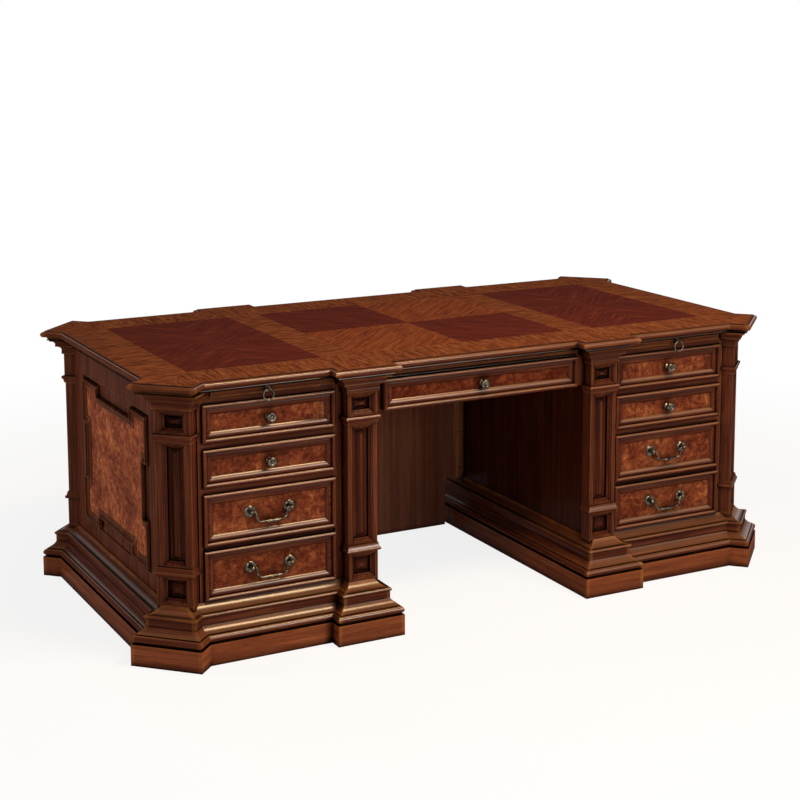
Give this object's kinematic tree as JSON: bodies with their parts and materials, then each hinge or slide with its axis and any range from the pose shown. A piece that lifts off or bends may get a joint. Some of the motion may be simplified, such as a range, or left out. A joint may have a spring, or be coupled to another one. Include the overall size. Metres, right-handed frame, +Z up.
{
  "type": "executive desk",
  "caption": "Double-pedestal executive desk with canted corner pilasters, moulded plinths, burl drawers, writing slides and a kneehole with a modesty panel.",
  "frame": {"origin": "on the floor under the middle of the desk", "axes": "+Z up, +X to the right of someone who faces the drawers, drawers open towards -Y"},
  "size_m": [2.1436, 1.1336, 0.78],
  "materials": {
    "walnut": "satin lacquer, dark glaze",
    "walnut_burl": "satin lacquer",
    "mahogany_field": "gloss lacquer",
    "crossband": "gloss lacquer",
    "drawer_lining": "thin sealer",
    "aged_brass": "antiqued"
  },
  "bodies": {
    "desk": {"top_board": "walnut", "top_fields": "mahogany_field", "top_bands": "crossband", "frieze_bands": "walnut", "side_panels": "walnut_burl", "rear_panels": "walnut_burl", "modesty_panel": "walnut", "modesty_cleats": "walnut", "middle_guides": "drawer_lining", "left_front_pilaster": "walnut", "left_rear_pilaster": "walnut", "left_front_corner": "walnut", "left_rear_corner": "walnut", "left_plinth": "walnut", "left_front_frame": "walnut", "left_knee_side": "walnut", "left_side_frame": "walnut", "left_rear_frame": "walnut", "left_drawer_guides": "drawer_lining", "right_front_pilaster": "walnut", "right_rear_pilaster": "walnut", "right_front_corner": "walnut", "right_rear_corner": "walnut", "right_plinth": "walnut", "right_front_frame": "walnut", "right_knee_side": "walnut", "right_side_frame": "walnut", "right_rear_frame": "walnut", "right_drawer_guides": "drawer_lining"},
    "right_slide": {"right_writing_slide": "walnut", "right_ring_eye": "aged_brass"},
    "right_ring": {"right_pull_ring": "aged_brass"},
    "right_top_drawer": {"right_top_drawer_front": "walnut_burl", "right_top_drawer_box": "drawer_lining", "right_top_knob": "aged_brass"},
    "right_second_drawer": {"right_second_drawer_front": "walnut_burl", "right_second_drawer_box": "drawer_lining", "right_second_knob": "aged_brass"},
    "right_file_drawer": {"right_file_drawer_front": "walnut_burl", "right_file_drawer_box": "drawer_lining", "right_bail_posts": "aged_brass"},
    "right_upper_bail": {"right_upper_bail": "aged_brass"},
    "right_lower_bail": {"right_lower_bail": "aged_brass"},
    "left_slide": {"left_writing_slide": "walnut", "left_ring_eye": "aged_brass"},
    "left_ring": {"left_pull_ring": "aged_brass"},
    "left_top_drawer": {"left_top_drawer_front": "walnut_burl", "left_top_drawer_box": "drawer_lining", "left_top_knob": "aged_brass"},
    "left_second_drawer": {"left_second_drawer_front": "walnut_burl", "left_second_drawer_box": "drawer_lining", "left_second_knob": "aged_brass"},
    "left_file_drawer": {"left_file_drawer_front": "walnut_burl", "left_file_drawer_box": "drawer_lining", "left_bail_posts": "aged_brass"},
    "left_upper_bail": {"left_upper_bail": "aged_brass"},
    "left_lower_bail": {"left_lower_bail": "aged_brass"},
    "middle_drawer": {"middle_drawer_front": "walnut_burl", "middle_drawer_box": "drawer_lining", "middle_knob": "aged_brass"}
  },
  "joints": [
    {"name": "right_slide_pull", "type": "slide", "parent": "desk", "child": "right_slide", "axis": [0, -1, 0], "range_m": [0, 0.3]},
    {"name": "right_ring_swing", "type": "hinge", "parent": "right_slide", "child": "right_ring", "pos_m": [0.68775, -0.493, 0.7409], "axis": [-1, 0, 0], "range_deg": [0, 90]},
    {"name": "right_top_drawer_pull", "type": "slide", "parent": "desk", "child": "right_top_drawer", "axis": [0, -1, 0], "range_m": [0, 0.4]},
    {"name": "right_second_drawer_pull", "type": "slide", "parent": "desk", "child": "right_second_drawer", "axis": [0, -1, 0], "range_m": [0, 0.4]},
    {"name": "right_file_drawer_pull", "type": "slide", "parent": "desk", "child": "right_file_drawer", "axis": [0, -1, 0], "range_m": [0, 0.44]},
    {"name": "right_upper_bail_swing", "type": "hinge", "parent": "right_file_drawer", "child": "right_upper_bail", "pos_m": [0.67354, -0.471, 0.3945], "axis": [-1, 0, 0], "range_deg": [0, 90]},
    {"name": "right_lower_bail_swing", "type": "hinge", "parent": "right_file_drawer", "child": "right_lower_bail", "pos_m": [0.67354, -0.471, 0.2355], "axis": [-1, 0, 0], "range_deg": [0, 90]},
    {"name": "left_slide_pull", "type": "slide", "parent": "desk", "child": "left_slide", "axis": [0, -1, 0], "range_m": [0, 0.3]},
    {"name": "left_ring_swing", "type": "hinge", "parent": "left_slide", "child": "left_ring", "pos_m": [-0.68775, -0.493, 0.7409], "axis": [-1, 0, 0], "range_deg": [0, 90]},
    {"name": "left_top_drawer_pull", "type": "slide", "parent": "desk", "child": "left_top_drawer", "axis": [0, -1, 0], "range_m": [0, 0.4]},
    {"name": "left_second_drawer_pull", "type": "slide", "parent": "desk", "child": "left_second_drawer", "axis": [0, -1, 0], "range_m": [0, 0.4]},
    {"name": "left_file_drawer_pull", "type": "slide", "parent": "desk", "child": "left_file_drawer", "axis": [0, -1, 0], "range_m": [0, 0.44]},
    {"name": "left_upper_bail_swing", "type": "hinge", "parent": "left_file_drawer", "child": "left_upper_bail", "pos_m": [-0.67354, -0.471, 0.3945], "axis": [-1, 0, 0], "range_deg": [0, 90]},
    {"name": "left_lower_bail_swing", "type": "hinge", "parent": "left_file_drawer", "child": "left_lower_bail", "pos_m": [-0.67354, -0.471, 0.2355], "axis": [-1, 0, 0], "range_deg": [0, 90]},
    {"name": "middle_drawer_pull", "type": "slide", "parent": "desk", "child": "middle_drawer", "axis": [0, -1, 0], "range_m": [0, 0.33]}
  ]
}
